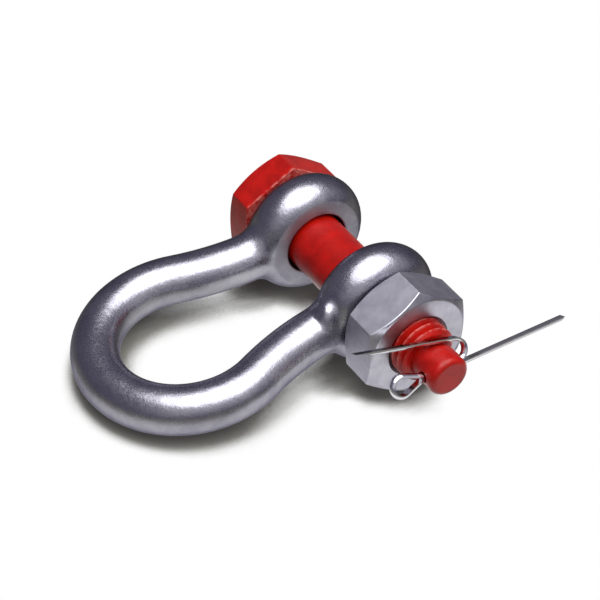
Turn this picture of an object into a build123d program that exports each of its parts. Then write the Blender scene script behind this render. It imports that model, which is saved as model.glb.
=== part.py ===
"""A forged bow shackle with a headed bolt, a nut and a split pin, lying on the ground.

Millimetres, +Z up. The origin is on the bolt's axis, midway between the two eyes. The bolt runs
along X with its head at -X and its nut at +X. The bow reaches towards -Y and rests on its crown
and on the rims of both eyes, so it leans by a few degrees about the bolt's axis.
"""
from build123d import *
import os
from math import asin, atan2, cos, degrees, hypot, radians, sin, sqrt, tan

# The bow is one forging of round bar with a flat-faced eye at the end of each leg
BAR_DIAMETER = 12.6
BOW_INSIDE_WIDTH = 33.8
BOW_INSIDE_LENGTH = 54.5
EYE_GAP = 20.5
EYE_THICKNESS = 12.8
EYE_DIAMETER = 33.0
EYE_FACE_DIAMETER = 25.0
EYE_HOLE_CLEARANCE = 1.5
EYE_HOLE_ROUNDING = 0.7
SPOT_FACE_MARGIN = 0.9
NECK_FROM_BOLT = 11.0
NECK_BLEND = 8.0

# The bolt has a plain shank through both eyes, a thread for the nut and a thinner nose
BOLT_DIAMETER = 16.0
HEAD_HEIGHT = 8.9
HEAD_SEAT_CLEARANCE = 0.05
SHANK_ROOT_ROUNDING = 0.5
THREAD_DIAMETER = 15.8
THREAD_START_IN_EYE = 1.0
THREAD_BEYOND_NUT = 4.9
THREAD_END_CHAMFER = 0.9
NOSE_DIAMETER = 11.1
NOSE_LENGTH = 9.1
NOSE_ROUNDING = 0.9

# The nut was left a little off the eye, so that the bolt turns freely
NUT_HEIGHT = 12.0
NUT_END_PLAY = 1.2
NUT_BORE_CLEARANCE = 0.3
NUT_COUNTERSINK = 0.75

# The head and the nut are one size of hexagon, with corners that stay off the ground under the eyes
HEX_CORNER_CLEARANCE = 0.45
HEX_CHAMFER_ANGLE = 30.0
HEX_CHAMFER_INSET = 0.4

# The split pin is half-round wire folded flat to flat, with one leg bent back over the nose
PIN_WIRE_RADIUS = 1.1
PIN_LEG_GAP = 0.1
PIN_HOLE_CLEARANCE = 0.8
PIN_FROM_THREAD = 5.1
PIN_RISE = 2.5
PIN_ROLL = 27.0
PIN_EYE_WIDTH = 6.6
PIN_EYE_LENGTH = 9.3
PIN_EYE_FROM_NOSE = 0.2
PIN_SHOULDER_RADIUS = 2.2
PIN_STRAIGHT_LEG = 31.5
PIN_STRAIGHT_TIP = 1.0
PIN_BEND_RADIUS = 3.25
PIN_BEND_INSIDE_HOLE = 0.8
PIN_BEND_ANGLE = 167.4
PIN_BENT_LEG = 28.2
PIN_BENT_TIP = 8.0

# Places that follow from the sizes above
EYE_X = (EYE_GAP + EYE_THICKNESS) / 2
EYE_OUTER_FACE = EYE_X + EYE_THICKNESS / 2
CROWN_RADIUS = (BOW_INSIDE_WIDTH + BAR_DIAMETER) / 2
CROWN_FROM_BOLT = BOLT_DIAMETER / 2 + BOW_INSIDE_LENGTH - BOW_INSIDE_WIDTH / 2
HEX_ACROSS_FLATS = (EYE_DIAMETER - 2 * HEX_CORNER_CLEARANCE) * cos(radians(30))
REST_TILT = degrees(asin((EYE_DIAMETER - BAR_DIAMETER) / 2 / (CROWN_FROM_BOLT + CROWN_RADIUS)))
THREAD_START = EYE_OUTER_FACE - THREAD_START_IN_EYE
NUT_INNER_FACE = EYE_OUTER_FACE + NUT_END_PLAY
THREAD_END = NUT_INNER_FACE + NUT_HEIGHT + THREAD_BEYOND_NUT
PIN_X = THREAD_END + PIN_FROM_THREAD


def bow_line():
    """The bow's centre line: the crown's arc, a reverse arc up each leg and a straight into each eye."""
    rise = CROWN_FROM_BOLT - NECK_FROM_BOLT
    reverse_radius = (EYE_X**2 + rise**2 - CROWN_RADIUS**2) / (2 * (CROWN_RADIUS - EYE_X))
    lean = asin(rise / (CROWN_RADIUS + reverse_radius))
    crown_end = Vector(CROWN_RADIUS * cos(lean), CROWN_RADIUS * sin(lean) - CROWN_FROM_BOLT)
    leg_middle = Vector(
        EYE_X + reverse_radius * (1 - cos(lean / 2)),
        -NECK_FROM_BOLT - reverse_radius * sin(lean / 2),
    )
    line = ThreePointArc(
        (-crown_end.X, crown_end.Y),
        (0, -CROWN_FROM_BOLT - CROWN_RADIUS),
        (crown_end.X, crown_end.Y),
    )
    for side in (-1, 1):
        neck = (side * EYE_X, -NECK_FROM_BOLT)
        line += ThreePointArc((side * crown_end.X, crown_end.Y), (side * leg_middle.X, leg_middle.Y), neck)
        line += Line(neck, (side * EYE_X, 0))
    return line


def eye_blank():
    """A thick disc about the X axis, centred on the origin, with flat faces and a rounded rim."""
    half = EYE_THICKNESS / 2
    face = EYE_FACE_DIAMETER / 2
    rim = ThreePointArc((-half, face), (0, EYE_DIAMETER / 2), (half, face))
    faces = Polyline((half, face), (half, 0), (-half, 0), (-half, face))
    return revolve(make_face(rim + faces), Axis.X)


def make_bow():
    """The bar and both eyes in one piece, blended at the necks, bored and laid down to rest."""
    line = bow_line()
    legs = sweep(Plane(origin=line @ 0, z_dir=line % 0) * Circle(BAR_DIAMETER / 2), path=line)
    eyes = [Pos(side * EYE_X, 0, 0) * eye_blank() for side in (-1, 1)]
    body = legs + eyes
    body = fillet(new_edges(legs, *eyes, combined=body), NECK_BLEND)

    # Both eyes are faced off flat where the head and the nut turn, which leaves a step on each leg
    spot_face = EYE_DIAMETER / 2 - HEX_CORNER_CLEARANCE + SPOT_FACE_MARGIN
    cutter = Rot(0, 90, 0) * Cylinder(spot_face, EYE_THICKNESS)
    for side in (-1, 1):
        body -= Pos(side * (EYE_OUTER_FACE + EYE_THICKNESS / 2), 0, 0) * cutter

    hole_radius = (BOLT_DIAMETER + EYE_HOLE_CLEARANCE) / 2
    body -= Rot(0, 90, 0) * Cylinder(hole_radius, 4 * EYE_OUTER_FACE)
    mouths = body.edges().filter_by(GeomType.CIRCLE)
    mouths = mouths.filter_by(lambda edge: abs(edge.radius - hole_radius) < 0.01)
    body = fillet(mouths, EYE_HOLE_ROUNDING)
    return Rot(REST_TILT, 0, 0) * body


def hexagon(height, chamfer_near_end=True):
    """A hexagonal block from x = 0 to its height, with a corner straight down and chamfered ends."""
    profile = RegularPolygon(HEX_ACROSS_FLATS / 2, 6, major_radius=False, rotation=30)
    block = extrude(Plane.YZ * profile, height)
    # The cone that turns the chamfers runs on well past the corners
    face, beyond = HEX_ACROSS_FLATS / 2 - HEX_CHAMFER_INSET, HEX_ACROSS_FLATS
    depth = (beyond - face) * tan(radians(HEX_CHAMFER_ANGLE))
    near_end = [(0, face), (depth, beyond)] if chamfer_near_end else [(0, beyond)]
    far_end = [(height - depth, beyond), (height, face), (height, 0)]
    return block & revolve(make_face(Polyline((0, 0), *near_end, *far_end, close=True)), Axis.X)


def pin_plane():
    """The split pin's own plane: x along the pin, y from its straight leg to its bent one."""
    along = Vector(0, 1, 0).rotate(Axis.X, PIN_RISE)
    across = Vector(1, 0, 0).rotate(Axis((0, 0, 0), along), -PIN_ROLL)
    return Plane(origin=(PIN_X, 0, 0), x_dir=along, z_dir=across)


def make_bolt():
    """The head, shank, threaded length and nose in one piece, with the split pin's hole."""
    shank, thread, nose = BOLT_DIAMETER / 2, THREAD_DIAMETER / 2, NOSE_DIAMETER / 2
    under_head = -EYE_OUTER_FACE - HEAD_SEAT_CLEARANCE
    nose_end = THREAD_END + NOSE_LENGTH
    outline = Polyline(
        (under_head - HEAD_HEIGHT / 2, 0),
        (under_head - HEAD_HEIGHT / 2, shank),
        (THREAD_START, shank),
        (THREAD_START, thread),
        (THREAD_END - THREAD_END_CHAMFER, thread),
        (THREAD_END, thread - THREAD_END_CHAMFER),
        (THREAD_END, nose),
        (nose_end, nose),
        (nose_end, 0),
        close=True,
    )
    body = revolve(make_face(outline), Axis.X)
    body = fillet(body.edges().group_by(Axis.X)[-1], NOSE_ROUNDING)
    head = Pos(under_head, 0, 0) * Rot(0, 0, 180) * hexagon(HEAD_HEIGHT, False)
    root = new_edges(body, head, combined=body + head)
    body = fillet(root, SHANK_ROOT_ROUNDING)
    hole_diameter = 2 * PIN_WIRE_RADIUS + PIN_LEG_GAP + PIN_HOLE_CLEARANCE
    hole = Cylinder(hole_diameter / 2, 2 * NOSE_DIAMETER, rotation=(0, 90, 0))
    return body - pin_plane() * hole


def make_nut():
    """A hexagon nut, chamfered and countersunk at both ends."""
    bore = (THREAD_DIAMETER + NUT_BORE_CLEARANCE) / 2
    body = hexagon(NUT_HEIGHT) - Rot(0, 90, 0) * Cylinder(bore, 3 * NUT_HEIGHT)
    mouths = body.edges().filter_by(GeomType.CIRCLE).filter_by(lambda edge: abs(edge.radius - bore) < 0.01)
    return Pos(NUT_INNER_FACE, 0, 0) * chamfer(mouths, NUT_COUNTERSINK)


def pin_line():
    """The flat side of the split pin's wire in its own plane, from the straight tip to the bent one."""
    gap = PIN_LEG_GAP / 2
    nose = NOSE_DIAMETER / 2
    shoulder = -nose - PIN_EYE_FROM_NOSE
    loop_radius = PIN_EYE_WIDTH / 2 - PIN_WIRE_RADIUS
    loop_centre = shoulder - PIN_EYE_LENGTH + PIN_EYE_WIDTH / 2
    to_loop = shoulder - loop_centre
    spread = asin(loop_radius / hypot(to_loop, gap)) - atan2(gap, to_loop)
    reach = sqrt(to_loop**2 + gap**2 - loop_radius**2)
    touch = (shoulder - reach * cos(spread), gap + reach * sin(spread))
    straight_leg = FilletPolyline(
        (nose + PIN_STRAIGHT_LEG, -gap), (shoulder, -gap), (touch[0], -touch[1]), radius=PIN_SHOULDER_RADIUS
    )
    loop = ThreePointArc((touch[0], -touch[1]), (loop_centre - loop_radius, 0), touch)
    bend_start = (nose - PIN_BEND_INSIDE_HOLE, gap)
    through = FilletPolyline(touch, (shoulder, gap), bend_start, radius=PIN_SHOULDER_RADIUS)
    bend = JernArc(bend_start, (1, 0), PIN_BEND_RADIUS, PIN_BEND_ANGLE)
    bent_leg = Line(bend @ 1, bend @ 1 + (bend % 1) * PIN_BENT_LEG)
    return straight_leg + loop + through + bend + bent_leg


def sheared_tip(end, heading, length, round_side):
    """What a slanting cut takes off a leg's end, leaving its flat side whole."""
    outward = Vector(-heading.Y, heading.X) * round_side * 2 * PIN_WIRE_RADIUS
    half_cut = Polyline(end, end - heading * 2 * length + outward, end + heading + outward, close=True)
    return extrude(pin_plane() * make_face(half_cut), 2 * PIN_WIRE_RADIUS, both=True)


def make_split_pin():
    """Half-round wire swept along the pin's line, with both tips sheared."""
    line = pin_line()
    path = pin_plane() * line
    half_round = make_face(
        CenterArc((0, 0), PIN_WIRE_RADIUS, 180, 180) + Line((-PIN_WIRE_RADIUS, 0), (PIN_WIRE_RADIUS, 0))
    )
    section = Plane(origin=path @ 0, x_dir=pin_plane().z_dir, z_dir=path % 0)
    body = sweep(section * half_round, path=path)
    body -= sheared_tip(line @ 0, -(line % 0), PIN_STRAIGHT_TIP, -1)
    return body - sheared_tip(line @ 1, line % 1, PIN_BENT_TIP, 1)


if __name__ == "__main__":
    os.makedirs("parts", exist_ok=True)
    pieces = {
        "bow": make_bow(),
        "bolt": make_bolt(),
        "nut": make_nut(),
        "split_pin": make_split_pin(),
    }
    for name, piece in pieces.items():
        print(name, round(piece.volume), "mm3", "valid" if piece.is_valid else "not valid")
        export_step(piece, f"parts/{name}.step")
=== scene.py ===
from math import hypot, pi, radians, tan

import bpy
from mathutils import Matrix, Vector


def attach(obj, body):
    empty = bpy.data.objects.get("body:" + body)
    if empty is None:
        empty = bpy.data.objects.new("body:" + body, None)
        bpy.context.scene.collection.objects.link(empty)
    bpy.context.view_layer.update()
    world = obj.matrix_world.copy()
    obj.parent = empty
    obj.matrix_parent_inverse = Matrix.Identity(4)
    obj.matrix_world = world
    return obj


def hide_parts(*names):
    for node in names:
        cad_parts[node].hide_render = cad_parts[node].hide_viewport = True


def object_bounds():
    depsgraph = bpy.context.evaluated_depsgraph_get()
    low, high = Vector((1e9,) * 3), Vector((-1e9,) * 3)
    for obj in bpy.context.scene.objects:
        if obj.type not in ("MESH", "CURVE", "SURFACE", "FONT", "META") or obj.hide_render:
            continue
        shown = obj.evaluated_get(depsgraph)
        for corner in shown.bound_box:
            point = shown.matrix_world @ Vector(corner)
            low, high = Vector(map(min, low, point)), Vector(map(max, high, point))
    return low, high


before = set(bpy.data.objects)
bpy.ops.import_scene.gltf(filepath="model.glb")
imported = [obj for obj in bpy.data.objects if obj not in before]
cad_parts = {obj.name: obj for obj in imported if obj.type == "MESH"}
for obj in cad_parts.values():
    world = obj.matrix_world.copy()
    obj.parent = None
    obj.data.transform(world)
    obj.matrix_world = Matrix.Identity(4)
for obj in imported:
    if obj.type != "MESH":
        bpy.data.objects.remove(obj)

cad_low, cad_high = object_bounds()
MM = 0.001


# The bow: one forging of round steel bar, hot-dip galvanised after it is trimmed. The eyes are
# faced off and drilled. Its solid lacks only one die mark, a low lump on the right leg's neck, so
# its piece is a merged copy of the solid's mesh with that lump raised on it.
EYE_GAP, FACED_RADIUS = 10.25, 15.0
SCAR_PLACE, SCAR_SHAPE = Vector((18.9, -16.4, 4.6)) * MM, Vector((0.6, 1.2, 0.6))
SCAR_WIDTH, SCAR_RISE = 3.8 * MM, Vector((0.374, -0.591, 0.714)) * 0.6 * MM
SAME_PLACE, SMOOTH_BELOW = 0.002 * MM, radians(28)


def linear(code):
    """An sRGB hex colour as the linear RGBA that the nodes take."""
    parts = [int(code[i : i + 2], 16) / 255 for i in (1, 3, 5)]
    return [c / 12.92 if c <= 0.04045 else ((c + 0.055) / 1.055) ** 2.4 for c in parts] + [1]


def add_node(tree, kind, settings=None, links=None):
    """Adds one node to a tree, with its settings and with the sockets that feed its inputs."""
    node = tree.nodes.new("ShaderNode" + kind)
    for name, value in (settings or {}).items():
        if isinstance(name, int) or name in node.inputs:
            node.inputs[name].default_value = value
        else:
            setattr(node, name, value)
    for name, source in (links or {}).items():
        tree.links.new(source, node.inputs[name])
    return node


def new_finish(name):
    """An empty node material, and the object's own coordinates in it."""
    material = bpy.data.materials.new(name)
    material.use_nodes = True
    tree = material.node_tree
    tree.nodes.clear()
    place = add_node(tree, "TexCoord").outputs["Object"]
    return material, tree, place


def from_axis(tree, place):
    """How far a point is from the bolt's axis."""
    spoke = add_node(tree, "VectorMath", {"operation": "MULTIPLY", 1: (0, 1, 1)}, {0: place})
    length = add_node(tree, "VectorMath", {"operation": "LENGTH"}, {0: spoke.outputs["Vector"]})
    return length.outputs["Value"]


def pick(piece):
    """Makes a piece the only one selected, and the active one."""
    bpy.ops.object.select_all(action="DESELECT")
    piece.select_set(True)
    bpy.context.view_layer.objects.active = piece


# Hot-dip zinc on a forging: a soft grey metal whose highlights break up into fine grain. The bath
# leaves it faintly mottled over a centimetre and lumpy over a few millimetres.
ZINC_LIGHT, ZINC_DARK, ZINC_EDGE = "#b4b3ba", "#9a98a3", "#8f8c98"
ZINC_GRAIN, ZINC_LUMP, ZINC_MOTTLE = 0.45 * MM, 3.2 * MM, 9 * MM
GRAIN_HEIGHT, LUMP_HEIGHT, SCAR_CRISPNESS = 0.025 * MM, 0.1 * MM, 0.7 * MM
ZINC_SHINY, ZINC_DULL, MILLED_DULLER = 0.24, 0.35, 0.3
NOISE_LOW, NOISE_HIGH = 0.35, 0.65

galvanised, tree, place = new_finish("hot_dip_galvanised_steel")
grain = add_node(
    tree, "TexNoise", {"Scale": 1 / ZINC_GRAIN, "Detail": 3, "Roughness": 0.6}, {"Vector": place}
)
lump = add_node(
    tree, "TexNoise", {"Scale": 1 / ZINC_LUMP, "Detail": 3, "Roughness": 0.55}, {"Vector": place}
)
mottle = add_node(
    tree, "TexNoise", {"Scale": 1 / ZINC_MOTTLE, "Detail": 5, "Roughness": 0.65}, {"Vector": place}
)
spread = add_node(
    tree,
    "MapRange",
    {"From Min": NOISE_LOW, "From Max": NOISE_HIGH},
    {"Value": mottle.outputs["Fac"]},
)
tint = add_node(
    tree,
    "Mix",
    {"data_type": "RGBA", 6: linear(ZINC_DARK), 7: linear(ZINC_LIGHT)},
    {0: spread.outputs["Result"]},
)
gloss = add_node(
    tree,
    "MapRange",
    {"From Min": NOISE_LOW, "From Max": NOISE_HIGH, "To Min": ZINC_SHINY, "To Max": ZINC_DULL},
    {"Value": grain.outputs["Fac"]},
)
# The eyes' inner faces are milled, and take the zinc duller. They are the only places that lie so
# close both to the bow's middle and to the bolt's axis.
across = add_node(tree, "SeparateXYZ", None, {0: place})
side = add_node(tree, "Math", {"operation": "ABSOLUTE"}, {0: across.outputs["X"]})
inner = add_node(
    tree,
    "MapRange",
    {
        "From Min": (EYE_GAP + 0.05) * MM,
        "From Max": (EYE_GAP + 0.3) * MM,
        "To Min": 1,
        "To Max": 0,
    },
    {"Value": side.outputs[0]},
)
round_hole = add_node(
    tree,
    "MapRange",
    {"From Min": (FACED_RADIUS - 1) * MM, "From Max": FACED_RADIUS * MM, "To Min": 1, "To Max": 0},
    {"Value": from_axis(tree, place)},
)
faced = add_node(
    tree,
    "Math",
    {"operation": "MULTIPLY"},
    {0: inner.outputs["Result"], 1: round_hole.outputs["Result"]},
)
duller = add_node(
    tree,
    "Math",
    {"operation": "MULTIPLY_ADD", 1: MILLED_DULLER},
    {0: faced.outputs[0], 2: gloss.outputs["Result"]},
)
# The die mark, longer across the leg than along it, catches the light on a crisper shoulder than
# its low lump has in the mesh.
shaped = add_node(tree, "VectorMath", {"operation": "MULTIPLY", 1: SCAR_SHAPE}, {0: place})
scar_away = add_node(
    tree,
    "VectorMath",
    {"operation": "DISTANCE", 1: SCAR_PLACE * SCAR_SHAPE},
    {0: shaped.outputs["Vector"]},
)
scar = add_node(
    tree,
    "MapRange",
    {"interpolation_type": "SMOOTHSTEP", "From Max": SCAR_WIDTH, "To Min": 1, "To Max": 0},
    {"Value": scar_away.outputs["Value"]},
)
scar_bump = add_node(
    tree,
    "Bump",
    {"Strength": 1.0, "Distance": SCAR_CRISPNESS},
    {"Height": scar.outputs["Result"]},
)
lumps = add_node(
    tree,
    "Bump",
    {"Strength": 1.0, "Distance": LUMP_HEIGHT},
    {"Height": lump.outputs["Fac"], "Normal": scar_bump.outputs["Normal"]},
)
grains = add_node(
    tree,
    "Bump",
    {"Strength": 1.0, "Distance": GRAIN_HEIGHT},
    {"Height": grain.outputs["Fac"], "Normal": lumps.outputs["Normal"]},
)
surface = add_node(
    tree,
    "BsdfPrincipled",
    {"Metallic": 1.0, "Specular Tint": linear(ZINC_EDGE)},
    {
        "Base Color": tint.outputs[2],
        "Roughness": duller.outputs[0],
        "Normal": grains.outputs["Normal"],
    },
)
add_node(tree, "OutputMaterial", None, {"Surface": surface.outputs["BSDF"]})

bow = bpy.data.objects.new("bow_forged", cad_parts["bow"].data.copy())
bpy.context.collection.objects.link(bow)
pick(bow)
bpy.ops.object.mode_set(mode="EDIT")
bpy.ops.mesh.select_all(action="SELECT")
bpy.ops.mesh.remove_doubles(threshold=SAME_PLACE)
bpy.ops.object.mode_set(mode="OBJECT")
bpy.ops.mesh.customdata_custom_splitnormals_clear()
bpy.ops.object.shade_smooth_by_angle(angle=SMOOTH_BELOW)
for vertex in bow.data.vertices:
    near = max(0, 1 - ((vertex.co - SCAR_PLACE) * SCAR_SHAPE).length / SCAR_WIDTH)
    vertex.co += SCAR_RISE * near * near * (3 - 2 * near)
bow.data.materials.clear()
bow.data.materials.append(galvanised)
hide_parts("bow")
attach(bow, "bow")


# The bolt: one forging with a hexagon head, a plain shank, a threaded length and a thinner nose
# drilled across for the split pin, all dipped in red paint. It is pushed through both eyes from the
# left. Its solid has a plain cylinder for a thread and sharp corners, so this piece replaces it.
HEX_CORNER, HEX_FACE, HEX_SLOPE = 16.05, 13.5, tan(radians(30))
HEX_CUTS, ROUND_CORNERS, NO_GAP = 11, 96, 0.01
HEAD_FACE, HEAD_SEAT, HEAD_CHAMFER, HEAD_ROUNDING = -32.0, -23.1, 2.5, 0.4
SHANK, COLLAR, CORE, THREAD, NOSE = 8.0, 8.5, 6.48, 7.9, 5.55
THREAD_START, THREAD_END, BOLT_END = 22.05, 41.15, 50.25
PITCH, CREST_AT_SIDE = 2.31, 39.73
HALF_CREST, TURNS, TURNS_BEFORE, TURN_STEPS = PITCH / 16, 12, 9, 96
FLANK_SLOPE, ROOTED = tan(radians(30)), 0.1
PIN_X, PIN_HOLE, PIN_LEAN = 46.25, 1.55, radians(2.5)


def drawn_out(name, corners, radius, rings):
    """A polygon across X, extruded along X from ring to ring. A ring is a place, or a place and a
    radius. A hexagon's sides are cut into short ones, so that a chamfer can curve them."""
    rings = [ring if isinstance(ring, tuple) else (ring, radius) for ring in rings]
    bpy.ops.object.select_all(action="DESELECT")
    bpy.ops.mesh.primitive_circle_add(
        vertices=corners,
        radius=rings[0][1] * MM,
        fill_type="NGON",
        location=(rings[0][0] * MM, 0, 0),
        rotation=(pi / 2, 0, pi / 2),
    )
    piece = bpy.context.object
    piece.name = name
    bpy.ops.object.transform_apply(location=True, rotation=True, scale=True)
    bpy.ops.object.mode_set(mode="EDIT")
    bpy.ops.mesh.select_all(action="SELECT")
    if corners == 6:
        bpy.ops.mesh.subdivide(number_cuts=HEX_CUTS)
    for (here, old), (there, new) in zip(rings, rings[1:]):
        bpy.ops.mesh.extrude_region_move(
            TRANSFORM_OT_translate={"value": ((there - here) * MM, 0, 0)}
        )
        bpy.ops.transform.resize(
            value=(1, new / old, new / old), center_override=(there * MM, 0, 0)
        )
    bpy.ops.mesh.select_all(action="SELECT")
    bpy.ops.mesh.normals_make_consistent(inside=False)
    bpy.ops.object.mode_set(mode="OBJECT")
    return piece


def chamfer(piece, end, edge):
    """Turns a 30 degree chamfer on a hexagon. The ring at its end goes onto the face's circle, and
    the ring at edge goes back onto the cone, which leaves the curved edge of a real nut on each
    flat."""
    side = 1 if edge > end else -1
    for vertex in piece.data.vertices:
        x, y, z = vertex.co / MM
        radius = hypot(y, z)
        if abs(x - end) < NO_GAP:
            vertex.co.yz *= HEX_FACE / radius
        elif abs(x - edge) < NO_GAP:
            vertex.co.x = (end + side * (radius - HEX_FACE) * HEX_SLOPE) * MM


def round_edges(piece, width):
    """Rounds every edge sharper than 20 degrees."""
    pick(piece)
    bevel = piece.modifiers.new("round", "BEVEL")
    bevel.width, bevel.segments = width * MM, 3
    bevel.limit_method, bevel.angle_limit = "ANGLE", radians(20)
    bpy.ops.object.modifier_apply(modifier="round")


def combine(piece, operation, tool):
    """Joins a piece with a tool, or cuts or trims it by one. The tool is used up."""
    pick(piece)
    boolean = piece.modifiers.new("combine", "BOOLEAN")
    boolean.operation, boolean.object, boolean.solver = operation, tool, "MANIFOLD"
    bpy.ops.object.modifier_apply(modifier="combine")
    bpy.data.objects.remove(tool)


def screw_ridge(name, crest, foot, half_crest):
    """A right-handed thread's ridge: a 60 degree trapezoid wound about X."""
    start, middle = CREST_AT_SIDE - TURNS_BEFORE * PITCH, (crest + foot) / 2
    half_foot = half_crest + (crest - foot) * FLANK_SLOPE
    bpy.ops.object.select_all(action="DESELECT")
    bpy.ops.mesh.primitive_plane_add(size=1, location=(start * MM, middle * MM, 0))
    ridge = bpy.context.object
    ridge.name = name
    ridge.scale = (2 * half_foot * MM, (crest - foot) * MM, 1)
    bpy.ops.object.transform_apply(location=True, rotation=True, scale=True)
    bpy.ops.object.mode_set(mode="EDIT")
    bpy.ops.mesh.select_mode(type="VERT")
    bpy.ops.mesh.select_all(action="DESELECT")
    bpy.ops.object.mode_set(mode="OBJECT")
    for vertex in ridge.data.vertices:
        vertex.select = vertex.co.y > middle * MM
    bpy.ops.object.mode_set(mode="EDIT")
    bpy.ops.transform.resize(
        value=(half_crest / half_foot, 1, 1), center_override=(start * MM, crest * MM, 0)
    )
    bpy.ops.mesh.select_all(action="SELECT")
    bpy.ops.mesh.delete(type="ONLY_FACE")
    bpy.ops.object.mode_set(mode="OBJECT")
    wind = ridge.modifiers.new("wind", "SCREW")
    wind.axis, wind.angle, wind.screw_offset = "X", 2 * pi, PITCH * MM
    wind.iterations, wind.steps, wind.render_steps = TURNS, TURN_STEPS, TURN_STEPS
    bpy.ops.object.modifier_apply(modifier="wind")
    bpy.ops.object.mode_set(mode="EDIT")
    bpy.ops.mesh.select_all(action="DESELECT")
    bpy.ops.mesh.select_non_manifold()
    bpy.ops.mesh.fill()
    bpy.ops.mesh.select_all(action="SELECT")
    bpy.ops.mesh.normals_make_consistent(inside=False)
    bpy.ops.object.mode_set(mode="OBJECT")
    return ridge


def finish_mesh(piece, node, body, material):
    """Shades flats flat and roundings smooth, and puts a modelled piece in its node's place."""
    pick(piece)
    bpy.ops.object.shade_smooth_by_angle(angle=SMOOTH_BELOW)
    flats = piece.modifiers.new("flats", "WEIGHTED_NORMAL")
    flats.keep_sharp = True
    bpy.ops.object.modifier_apply(modifier="flats")
    piece.data.materials.clear()
    piece.data.materials.append(material)
    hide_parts(node)
    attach(piece, body)


# Red gloss paint, dipped on: it has a fine orange peel and a few runs, and is thin and rubbed on
# the thread's crests, where its red is paler and duller. The pale red there and on the head's edge
# against the eye is also a painted highlight, standing for the glints on these rounded edges.
PAINT_RED, PAINT_DEEP, PAINT_WORN_AND_HIGHLIT = "#b61207", "#9f0e05", "#c8675e"
PEEL, RUNS, SPOT_SIZE = 0.9 * MM, 4.5 * MM, 1.6 * MM
PEEL_HEIGHT, RUN_HEIGHT = 0.035 * MM, 0.14 * MM
PAINT_SHINY, PAINT_DULL, PAINT_IOR = 0.24, 0.4, 1.42
SEAT_EDGE_FROM, SEAT_EDGE_TO = 11, 12

painted, tree, place = new_finish("red_gloss_paint")
peel = add_node(
    tree, "TexNoise", {"Scale": 1 / PEEL, "Detail": 2, "Roughness": 0.5}, {"Vector": place}
)
runs = add_node(
    tree, "TexNoise", {"Scale": 1 / RUNS, "Detail": 3, "Roughness": 0.55}, {"Vector": place}
)
spots = add_node(
    tree, "TexNoise", {"Scale": 1 / SPOT_SIZE, "Detail": 4, "Roughness": 0.7}, {"Vector": place}
)
thick = add_node(
    tree, "MapRange", {"From Min": 0.38, "From Max": 0.62}, {"Value": runs.outputs["Fac"]}
)
red = add_node(
    tree,
    "Mix",
    {"data_type": "RGBA", 6: linear(PAINT_DEEP), 7: linear(PAINT_RED)},
    {0: thick.outputs["Result"]},
)
# The crests are found by how far a point is from the axis, and only along the thread.
radius = from_axis(tree, place)
along = add_node(tree, "SeparateXYZ", None, {0: place})
crest = add_node(
    tree,
    "MapRange",
    {"From Min": (THREAD - 0.45) * MM, "From Max": (THREAD - 0.05) * MM},
    {"Value": radius},
)
threaded = add_node(
    tree,
    "MapRange",
    {"From Min": (THREAD_START + 0.1) * MM, "From Max": (THREAD_START + 0.3) * MM},
    {"Value": along.outputs["X"]},
)
on_crest = add_node(
    tree,
    "Math",
    {"operation": "MULTIPLY"},
    {0: crest.outputs["Result"], 1: threaded.outputs["Result"]},
)
# The head's edge is as far along as the head's seat, and far from the axis. The pale red put on it
# is a painted highlight.
at_seat = add_node(
    tree,
    "MapRange",
    {"From Min": (HEAD_SEAT - 0.7) * MM, "From Max": (HEAD_SEAT - 0.3) * MM},
    {"Value": along.outputs["X"]},
)
outside = add_node(
    tree,
    "MapRange",
    {"From Min": SEAT_EDGE_FROM * MM, "From Max": SEAT_EDGE_TO * MM},
    {"Value": radius},
)
seat_edge_highlight = add_node(
    tree,
    "Math",
    {"operation": "MULTIPLY"},
    {0: at_seat.outputs["Result"], 1: outside.outputs["Result"]},
)
worn_and_highlit = add_node(
    tree, "Math", {"operation": "ADD"}, {0: on_crest.outputs[0], 1: seat_edge_highlight.outputs[0]}
)
patchy = add_node(
    tree, "MapRange", {"From Min": 0.42, "From Max": 0.6}, {"Value": spots.outputs["Fac"]}
)
rubbed_and_highlit = add_node(
    tree, "Math", {"operation": "MULTIPLY"}, {0: worn_and_highlit.outputs[0], 1: patchy.outputs["Result"]}
)
# Pale red mixed in: worn paint with a painted highlight on the crests, and a painted highlight on
# the head's seat edge.
colour = add_node(
    tree,
    "Mix",
    {"data_type": "RGBA", 7: linear(PAINT_WORN_AND_HIGHLIT)},
    {0: rubbed_and_highlit.outputs[0], 6: red.outputs[2]},
)
gloss = add_node(
    tree,
    "MapRange",
    {"To Min": PAINT_SHINY, "To Max": PAINT_DULL},
    {"Value": spots.outputs["Fac"]},
)
run_bump = add_node(
    tree, "Bump", {"Strength": 1.0, "Distance": RUN_HEIGHT}, {"Height": runs.outputs["Fac"]}
)
peel_bump = add_node(
    tree,
    "Bump",
    {"Strength": 1.0, "Distance": PEEL_HEIGHT},
    {"Height": peel.outputs["Fac"], "Normal": run_bump.outputs["Normal"]},
)
surface = add_node(
    tree,
    "BsdfPrincipled",
    {"IOR": PAINT_IOR},
    {
        "Base Color": colour.outputs[2],
        "Roughness": gloss.outputs["Result"],
        "Normal": peel_bump.outputs["Normal"],
    },
)
add_node(tree, "OutputMaterial", None, {"Surface": surface.outputs["BSDF"]})

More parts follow.
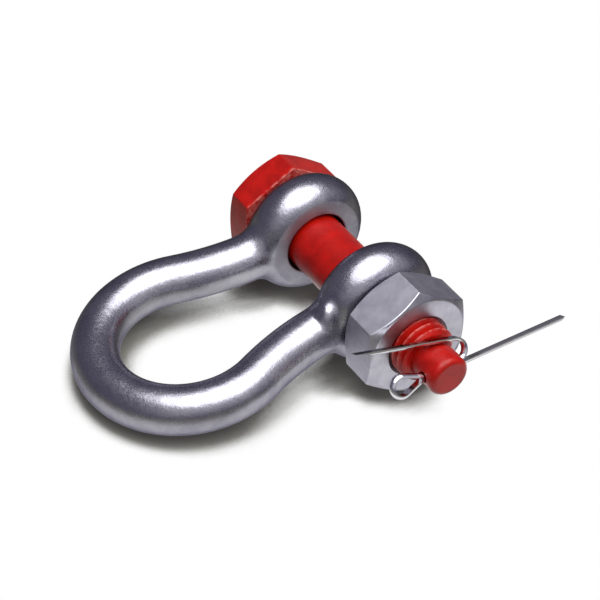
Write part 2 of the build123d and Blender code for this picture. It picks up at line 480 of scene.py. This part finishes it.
# The core is drawn out first: a collar that ends inside the head, a small fillet under the head,
# the shank, the thread's core, and the nose with its rounded end.
bolt = drawn_out(
    "bolt_painted",
    ROUND_CORNERS,
    SHANK,
    [
        (HEAD_SEAT - 4, COLLAR),
        (HEAD_SEAT - 0.05, COLLAR),
        (HEAD_SEAT + 0.05, SHANK + 0.25),
        (HEAD_SEAT + 0.23, SHANK + 0.08),
        HEAD_SEAT + 0.5,
        THREAD_START,
        (THREAD_START, CORE),
        (THREAD_END, CORE),
        (THREAD_END, NOSE),
        (BOLT_END - 4, NOSE),
        (BOLT_END - 1.5, NOSE),
        (BOLT_END - 0.93, NOSE - 0.11),
        (BOLT_END - 0.44, NOSE - 0.44),
        (BOLT_END - 0.11, NOSE - 0.93),
        (BOLT_END, NOSE - 1.5),
    ],
)
# The ridge is wound too long, then trimmed to the threaded length and bevelled at its outer end.
thread = screw_ridge("thread", THREAD, CORE - ROOTED, HALF_CREST)
limit = drawn_out(
    "limit",
    ROUND_CORNERS,
    THREAD + 0.5,
    [THREAD_START - 0.25, THREAD_END - 1.4, (THREAD_END - 0.05, THREAD - 0.85)],
)
combine(thread, "INTERSECT", limit)
combine(bolt, "UNION", thread)
head = drawn_out("head", 6, HEX_CORNER, [HEAD_FACE, HEAD_FACE + HEAD_CHAMFER, HEAD_SEAT])
chamfer(head, HEAD_FACE, HEAD_FACE + HEAD_CHAMFER)
round_edges(head, HEAD_ROUNDING)
combine(bolt, "UNION", head)
bpy.ops.object.select_all(action="DESELECT")
bpy.ops.mesh.primitive_cylinder_add(
    vertices=48,
    radius=PIN_HOLE * MM,
    depth=2 * SHANK * MM,
    location=(PIN_X * MM, 0, 0),
    rotation=(PIN_LEAN - pi / 2, 0, 0),
)
combine(bolt, "DIFFERENCE", bpy.context.object)
finish_mesh(bolt, "bolt", "bolt", painted)


# The nut: a hexagon bar, chamfered at both ends, countersunk and tapped, with a satin zinc finish.
# It is screwed onto the bolt until it stands just clear of the right eye. Its solid has a plain
# bore and sharp corners, so this piece replaces it.
NUT_INNER, NUT_OUTER, NUT_CHAMFER, NUT_ROUNDING = 24.25, 36.25, 2.25, 0.7
NUT_BORE, COUNTERSINK, OVERSHOOT = 6.75, 8.8, 0.5
TAP_DEEPER, TAP_WIDER = 0.15, 0.06

# Satin zinc: a smooth forging under a thin bright coat. It shines softly, with a fine tooth and
# faint clouds, and its flats carry the odd bruise from a spanner.
SATIN_LIGHT, SATIN_DARK, SATIN_EDGE = "#c3c2ca", "#b1afb9", "#9a97a3"
TOOTH, CLOUD, BRUISE = 0.45 * MM, 4 * MM, 2.2 * MM
TOOTH_HEIGHT, BRUISE_HEIGHT = 0.012 * MM, 0.05 * MM
SATIN_SHINY, SATIN_DULL, TURNED_SHINIER, PAST_CORNER = 0.46, 0.54, 0.15, 20

plated, tree, place = new_finish("satin_zinc_plate")
tooth = add_node(
    tree, "TexNoise", {"Scale": 1 / TOOTH, "Detail": 2, "Roughness": 0.6}, {"Vector": place}
)
cloud = add_node(
    tree, "TexNoise", {"Scale": 1 / CLOUD, "Detail": 4, "Roughness": 0.6}, {"Vector": place}
)
bruise = add_node(
    tree, "TexNoise", {"Scale": 1 / BRUISE, "Detail": 3, "Roughness": 0.6}, {"Vector": place}
)
spread = add_node(
    tree,
    "MapRange",
    {"From Min": NOISE_LOW, "From Max": NOISE_HIGH},
    {"Value": cloud.outputs["Fac"]},
)
tint = add_node(
    tree,
    "Mix",
    {"data_type": "RGBA", 6: linear(SATIN_DARK), 7: linear(SATIN_LIGHT)},
    {0: spread.outputs["Result"]},
)
gloss = add_node(
    tree,
    "MapRange",
    {"To Min": SATIN_SHINY, "To Max": SATIN_DULL},
    {"Value": cloud.outputs["Fac"]},
)
# The outer end face and its chamfer are turned, and shine more: they lie past the chamfer's cone.
across = add_node(tree, "SeparateXYZ", None, {0: place})
cone = add_node(
    tree,
    "MapRange",
    {
        "From Min": HEX_FACE * MM,
        "From Max": PAST_CORNER * MM,
        "To Min": 0,
        "To Max": (PAST_CORNER - HEX_FACE) * HEX_SLOPE * MM,
    },
    {"Value": from_axis(tree, place)},
)
outer = add_node(
    tree, "Math", {"operation": "ADD"}, {0: across.outputs["X"], 1: cone.outputs["Result"]}
)
turned = add_node(
    tree,
    "MapRange",
    {
        "From Min": (NUT_OUTER - 0.3) * MM,
        "From Max": (NUT_OUTER - 0.1) * MM,
        "To Max": -TURNED_SHINIER,
    },
    {"Value": outer.outputs[0]},
)
gloss = add_node(
    tree, "Math", {"operation": "ADD"}, {0: gloss.outputs["Result"], 1: turned.outputs["Result"]}
)
bruises = add_node(
    tree, "Bump", {"Strength": 1.0, "Distance": BRUISE_HEIGHT}, {"Height": bruise.outputs["Fac"]}
)
teeth = add_node(
    tree,
    "Bump",
    {"Strength": 1.0, "Distance": TOOTH_HEIGHT},
    {"Height": tooth.outputs["Fac"], "Normal": bruises.outputs["Normal"]},
)
surface = add_node(
    tree,
    "BsdfPrincipled",
    {"Metallic": 1.0, "Specular Tint": linear(SATIN_EDGE)},
    {
        "Base Color": tint.outputs[2],
        "Roughness": gloss.outputs[0],
        "Normal": teeth.outputs["Normal"],
    },
)
add_node(tree, "OutputMaterial", None, {"Surface": surface.outputs["BSDF"]})

nut = drawn_out(
    "nut_tapped",
    6,
    HEX_CORNER,
    [NUT_INNER, NUT_INNER + NUT_CHAMFER, NUT_OUTER - NUT_CHAMFER, NUT_OUTER],
)
chamfer(nut, NUT_INNER, NUT_INNER + NUT_CHAMFER)
chamfer(nut, NUT_OUTER, NUT_OUTER - NUT_CHAMFER)
round_edges(nut, NUT_ROUNDING)
depth = COUNTERSINK - NUT_BORE
bore = drawn_out(
    "bore",
    ROUND_CORNERS,
    NUT_BORE,
    [
        (NUT_INNER - OVERSHOOT, COUNTERSINK + OVERSHOOT),
        NUT_INNER + depth,
        NUT_OUTER - depth,
        (NUT_OUTER + OVERSHOOT, COUNTERSINK + OVERSHOOT),
    ],
)
combine(nut, "DIFFERENCE", bore)
tap = screw_ridge("tap", THREAD + TAP_DEEPER, NUT_BORE - ROOTED, HALF_CREST + TAP_WIDER)
combine(nut, "DIFFERENCE", tap)
finish_mesh(nut, "nut", "nut", plated)


# The split pin: half-round steel wire folded back on itself to an eye and two legs. It is pushed
# through the nose, and one leg is bent back round the bolt. Its solid is right and keeps its mesh.
LEG_FROM, LEG_ALL = 9 * MM, 12 * MM

# Bright drawn wire: smooth and shiny, with faint drawing lines and a breath of tarnish. The lines
# are coarser than the real ones, which would be too fine to show. The straight leg stands clear of
# the bolt and is handled, so it is scuffed.
WIRE_LIGHT, WIRE_DARK, WIRE_EDGE = "#ebeaee", "#d2d0d5", "#8f8e92"
TARNISH, DRAWN_LINE, LINE_HEIGHT = 2.5 * MM, 0.25 * MM, 0.002 * MM
WIRE_SHINY, WIRE_DULL, SCUFFED_DULLER = 0.05, 0.14, 0.24

drawn, tree, place = new_finish("bright_drawn_wire")
tarnish = add_node(
    tree, "TexNoise", {"Scale": 1 / TARNISH, "Detail": 3, "Roughness": 0.6}, {"Vector": place}
)
line = add_node(
    tree, "TexNoise", {"Scale": 1 / DRAWN_LINE, "Detail": 2, "Roughness": 0.5}, {"Vector": place}
)
tint = add_node(
    tree,
    "Mix",
    {"data_type": "RGBA", 6: linear(WIRE_DARK), 7: linear(WIRE_LIGHT)},
    {0: tarnish.outputs["Fac"]},
)
gloss = add_node(
    tree,
    "MapRange",
    {"To Min": WIRE_SHINY, "To Max": WIRE_DULL},
    {"Value": tarnish.outputs["Fac"]},
)
across = add_node(tree, "SeparateXYZ", None, {0: place})
handled = add_node(
    tree,
    "MapRange",
    {"From Min": LEG_FROM, "From Max": LEG_ALL, "To Max": SCUFFED_DULLER},
    {"Value": across.outputs["Y"]},
)
gloss = add_node(
    tree, "Math", {"operation": "ADD"}, {0: gloss.outputs["Result"], 1: handled.outputs["Result"]}
)
lines = add_node(
    tree, "Bump", {"Strength": 1.0, "Distance": LINE_HEIGHT}, {"Height": line.outputs["Fac"]}
)
surface = add_node(
    tree,
    "BsdfPrincipled",
    {"Metallic": 1.0, "Specular Tint": linear(WIRE_EDGE)},
    {
        "Base Color": tint.outputs[2],
        "Roughness": gloss.outputs[0],
        "Normal": lines.outputs["Normal"],
    },
)
add_node(tree, "OutputMaterial", None, {"Surface": surface.outputs["BSDF"]})
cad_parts["split_pin"].data.materials.clear()
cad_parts["split_pin"].data.materials.append(drawn)


# The floor: a wide matt sheet under the shackle, grey paper that glows pure white to the eye. An
# ambient-occlusion mask fades that glow out where the shackle crowds it, which paints the shadows
# there short and dark. In reflections it glows white only close by and on a glowing patch at the
# right, a painted reflection, and elsewhere shows as grey paper.
FLOOR_Z, FLOOR_SIZE, FLOOR_WHITE, FLOOR_PAPER = cad_low.z, 8, "#ffffff", "#7d7c74"
SHADE_REACH, CROWDED, OPEN = 12.5 * MM, 0.49, 0.7
SHEEN_NEAR, SHEEN_FAR = 7 * MM, 36 * MM
GLOW_PATCH_PLACE, GLOW_PATCH_RADIUS, GLOW_PATCH_EDGE = (40 * MM, 12 * MM, FLOOR_Z), 38 * MM, 60 * MM
GLOW_PATCH_NEARER = 34 * MM

bpy.ops.object.select_all(action="DESELECT")
bpy.ops.mesh.primitive_plane_add(size=FLOOR_SIZE, location=(0, 0, FLOOR_Z))
floor = bpy.context.object
floor.name = "floor"
bpy.ops.object.transform_apply(location=True, rotation=True, scale=True)

sheet, tree, place = new_finish("matt_white_sheet")
paper = add_node(tree, "BsdfDiffuse", {"Color": linear(FLOOR_PAPER)})
glow = add_node(tree, "Emission", {"Color": linear(FLOOR_WHITE), "Strength": 1.0})
# Ambient occlusion fades the glow where the shackle is near: a painted shadow over the paper's lit
# shading.
crowding = add_node(tree, "AmbientOcclusion", {"samples": 16, "Distance": SHADE_REACH})
openness = add_node(
    tree,
    "MapRange",
    {"interpolation_type": "SMOOTHSTEP", "From Min": CROWDED, "From Max": OPEN},
    {"Value": crowding.outputs["AO"]},
)
ray = add_node(tree, "LightPath")
seen = add_node(
    tree,
    "Math",
    {"operation": "MULTIPLY"},
    {0: ray.outputs["Is Camera Ray"], 1: openness.outputs["Result"]},
)
shining = add_node(
    tree,
    "Math",
    {"operation": "MAXIMUM"},
    {0: ray.outputs["Is Glossy Ray"], 1: ray.outputs["Is Transmission Ray"]},
)
# A glowing patch on the floor at the right, seen only in reflections: a painted reflection.
off_glow_patch = add_node(tree, "VectorMath", {"operation": "DISTANCE", 1: GLOW_PATCH_PLACE}, {0: place})
nearer = add_node(
    tree,
    "MapRange",
    {"From Min": GLOW_PATCH_RADIUS, "From Max": GLOW_PATCH_EDGE, "To Min": -GLOW_PATCH_NEARER, "To Max": 0},
    {"Value": off_glow_patch.outputs["Value"]},
)
reached = add_node(
    tree, "Math", {"operation": "ADD"}, {0: ray.outputs["Ray Length"], 1: nearer.outputs["Result"]}
)
bright = add_node(
    tree,
    "MapRange",
    {"From Min": SHEEN_NEAR, "From Max": SHEEN_FAR, "To Min": 1, "To Max": 0},
    {"Value": reached.outputs[0]},
)
mirrored = add_node(
    tree, "Math", {"operation": "MULTIPLY"}, {0: shining.outputs[0], 1: bright.outputs["Result"]}
)
share = add_node(
    tree, "Math", {"operation": "MAXIMUM"}, {0: seen.outputs[0], 1: mirrored.outputs[0]}
)
white = add_node(
    tree,
    "MixShader",
    None,
    {0: share.outputs[0], 1: paper.outputs["BSDF"], 2: glow.outputs["Emission"]},
)
add_node(tree, "OutputMaterial", None, {"Surface": white.outputs["Shader"]})
floor.data.materials.append(sheet)


# The light: one wide round soft box overhead, on the nut's side, in a dark studio that is paler to
# the right and above.
BOX_SIZE, BOX_POWER, BOX_PLACE = 0.72, 4.3, (0.15, 0.0, 0.5)
STUDIO_DARK, STUDIO_PALE, PALE_TOWARDS = "#656274", "#ceced4", (0.93, 0.05, 0.37)
PALE_FROM, PALE_ABOVE = 0.1, 0.4

box_data = bpy.data.lights.new("overhead_soft_box", "AREA")
box_data.shape, box_data.size, box_data.size_y = "ELLIPSE", BOX_SIZE, BOX_SIZE
box_data.energy = BOX_POWER
soft_box = bpy.data.objects.new("overhead_soft_box", box_data)
bpy.context.scene.collection.objects.link(soft_box)
soft_box.location = BOX_PLACE

world = bpy.data.worlds.new("studio")
bpy.context.scene.world = world
world.use_nodes = True
tree = world.node_tree
tree.nodes.clear()
direction = add_node(tree, "TexCoord").outputs["Generated"]
towards = add_node(
    tree, "VectorMath", {"operation": "DOT_PRODUCT", 1: PALE_TOWARDS}, {0: direction}
)
ramp = add_node(
    tree,
    "MapRange",
    {"interpolation_type": "SMOOTHSTEP", "From Min": 0.0, "From Max": 1.0},
    {"Value": towards.outputs["Value"]},
)
height = add_node(tree, "SeparateXYZ", None, {0: direction})
above = add_node(
    tree,
    "MapRange",
    {"From Min": PALE_FROM, "From Max": PALE_ABOVE},
    {"Value": height.outputs["Z"]},
)
pale = add_node(
    tree,
    "Math",
    {"operation": "MULTIPLY"},
    {0: ramp.outputs["Result"], 1: above.outputs["Result"]},
)
sky = add_node(
    tree,
    "Mix",
    {"data_type": "RGBA", 6: linear(STUDIO_DARK), 7: linear(STUDIO_PALE)},
    {0: pale.outputs[0]},
)
background = add_node(tree, "Background", {"Strength": 1.0}, {"Color": sky.outputs[2]})
add_node(tree, "OutputWorld", None, {"Surface": background.outputs["Background"]})


# The camera: a long lens from the nut's side, looking down at the bolt.
LENS, SENSOR = 122.05, 36
CAMERA_PLACE, CAMERA_TURN = (0.3349, -0.2351, 0.3308), (49.970, -2.070, 58.007)

lens = bpy.data.cameras.new("camera")
lens.lens, lens.sensor_width = LENS, SENSOR
lens.clip_start, lens.clip_end = 0.01, 20
camera = bpy.data.objects.new("camera", lens)
bpy.context.scene.collection.objects.link(camera)
camera.location = CAMERA_PLACE
camera.rotation_euler = [radians(turn) for turn in CAMERA_TURN]
bpy.context.scene.camera = camera
bpy.context.scene.view_settings.view_transform = "Standard"
